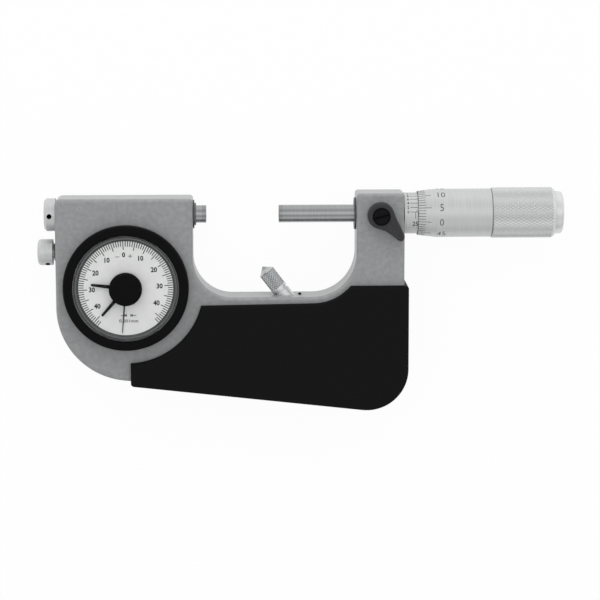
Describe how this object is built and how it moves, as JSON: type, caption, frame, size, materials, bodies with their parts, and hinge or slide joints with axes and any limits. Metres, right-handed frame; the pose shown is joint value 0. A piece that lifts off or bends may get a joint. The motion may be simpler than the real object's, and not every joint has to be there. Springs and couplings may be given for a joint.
{
  "type": "passameter",
  "caption": "Indicating snap micrometer: dial head with a sprung anvil, cast frame with hand grips, graduated thimble with lock, centring stop and retraction button.",
  "frame": {"origin": "centre of the sensitive anvil's measuring face", "axes": "+X along the measuring axis from the dial head to the thimble, +Y from the grips towards the measuring axis, +Z out of the dial"},
  "size_m": [0.189, 0.0799, 0.024],
  "materials": {
    "casting_paint": "satin enamel",
    "grip_plastic": "fine moulded grain",
    "steel": "ground",
    "satin_chrome": "satin",
    "hard_metal": "lapped",
    "black_steel": "blackened",
    "black_aluminium": "black anodised",
    "dial_white": "matt",
    "crystal": "clear",
    "brass": "satin",
    "spring_steel": "bright",
    "cover_paint": "satin enamel"
  },
  "bodies": {
    "frame_body": {"frame": "casting_paint", "front_grip": "grip_plastic", "rear_grip": "grip_plastic", "grip_screws": "steel", "anvil_bush": "steel", "wiper_ring": "steel", "rear_bush": "brass", "anvil_spring": "spring_steel", "rear_cap": "satin_chrome", "button_bush": "brass", "button_spring": "spring_steel", "rocker_pin": "steel", "hairspring": "spring_steel", "hairspring_stud": "brass", "back_plate": "brass", "front_plate": "brass", "pillars": "brass", "plate_screws": "steel", "fixing_screws": "steel", "back_cover": "cover_paint", "cover_screws": "steel", "spindle_bush": "black_steel", "sleeve": "satin_chrome", "spindle_nut": "steel", "adjusting_nut": "steel", "lock_washer": "steel", "lock_pad": "brass", "stop_grub_screw": "black_steel"},
    "needle_body": {"needle": "black_steel", "centre_pinion": "steel", "hairspring_collet": "brass"},
    "lever_body": {"sector_lever": "brass", "lever_contact": "hard_metal", "lever_arbor": "steel"},
    "wheel_body": {"wheel": "brass", "wheel_pinion": "steel"},
    "anvil_body": {"anvil": "steel", "contact_pin": "hard_metal", "anvil_tip": "hard_metal"},
    "rocker_body": {"retract_rocker": "steel"},
    "button_body": {"button": "satin_chrome", "button_stem": "steel"},
    "bezel_body": {"bezel": "black_aluminium", "dial": "dial_white", "dial_ring": "black_steel", "glass": "crystal"},
    "lower_limit_body": {"lower_limit_hand": "black_steel", "lower_knob": "black_aluminium"},
    "upper_limit_body": {"upper_limit_hand": "black_steel", "upper_knob": "black_aluminium"},
    "spindle_tip_body": {"spindle_tip": "hard_metal"},
    "thimble_body": {"spindle": "steel", "thimble": "satin_chrome", "thimble_grip": "satin_chrome", "thimble_cap": "satin_chrome", "thimble_screw": "steel"},
    "lock_body": {"lock_lever": "black_steel", "lock_screw": "black_steel"},
    "stop_body": {"work_stop": "steel"}
  },
  "joints": [
    {"name": "needle_turn", "type": "hinge", "parent": "frame_body", "child": "needle_body", "pos_m": [-0.02885, -0.0255, 0.0094], "axis": [0, 0, -1], "range_deg": [-1, 341], "deforming": ["hairspring"]},
    {"name": "lever_turn", "type": "hinge", "parent": "frame_body", "child": "lever_body", "pos_m": [-0.0363, -0.008, 0], "axis": [0, 0, -1], "range_deg": [-0.1, 4.3]},
    {"name": "wheel_turn", "type": "hinge", "parent": "frame_body", "child": "wheel_body", "pos_m": [-0.0363, -0.0296, 0], "axis": [0, 0, -1], "range_deg": [-46, 1]},
    {"name": "anvil_travel", "type": "slide", "parent": "frame_body", "child": "anvil_body", "axis": [-1, 0, 0], "range_m": [-0.000001, 0.000117], "deforming": ["anvil_spring"]},
    {"name": "rocker_turn", "type": "hinge", "parent": "frame_body", "child": "rocker_body", "pos_m": [-0.0415, -0.00395, 0], "axis": [0, 0, 1], "range_deg": [-0.1, 5.6]},
    {"name": "button_press", "type": "slide", "parent": "frame_body", "child": "button_body", "axis": [1, 0, 0], "range_m": [0, 0.0009134], "stiffness_N_per_m": 40, "springref_m": -0.0008, "deforming": ["button_spring"]},
    {"name": "bezel_turn", "type": "hinge", "parent": "frame_body", "child": "bezel_body", "pos_m": [-0.02885, -0.0255, 0.009], "axis": [0, 0, 1], "range_deg": [-10, 10]},
    {"name": "lower_limit_turn", "type": "hinge", "parent": "bezel_body", "child": "lower_limit_body", "pos_m": [-0.02885, -0.0255, 0.012], "axis": [0, 0, 1], "range_deg": [-140, 140]},
    {"name": "upper_limit_turn", "type": "hinge", "parent": "bezel_body", "child": "upper_limit_body", "pos_m": [-0.02885, -0.0255, 0.0135], "axis": [0, 0, 1], "range_deg": [-140, 140]},
    {"name": "spindle_travel", "type": "slide", "parent": "frame_body", "child": "spindle_tip_body", "axis": [1, 0, 0], "range_m": [-0.001, 0.024]},
    {"name": "thimble_turn", "type": "hinge", "parent": "spindle_tip_body", "child": "thimble_body", "pos_m": [0.1, 0, 0], "axis": [1, 0, 0], "range_deg": [-721, 17281]},
    {"name": "lock_turn", "type": "hinge", "parent": "frame_body", "child": "lock_body", "pos_m": [0.06245, 0, 0.0083], "axis": [0, 0, 1], "range_deg": [-70, 0]},
    {"name": "stop_slide", "type": "slide", "parent": "frame_body", "child": "stop_body", "axis": [-0.6074, 0.7944, 0], "range_m": [-0.003, 0.004]}
  ],
  "couplings": [
    {"joint": "anvil_travel", "follows": "button_press", "ratio": 0.12513},
    {"joint": "rocker_turn", "follows": "button_press", "rad_per_m": 104.28},
    {"joint": "lever_turn", "follows": "button_press", "rad_per_m": 78.748},
    {"joint": "wheel_turn", "follows": "button_press", "rad_per_m": -866.23},
    {"joint": "needle_turn", "follows": "button_press", "rad_per_m": 6496.7},
    {"joint": "thimble_turn", "follows": "spindle_travel", "rad_per_m": 12566}
  ]
}
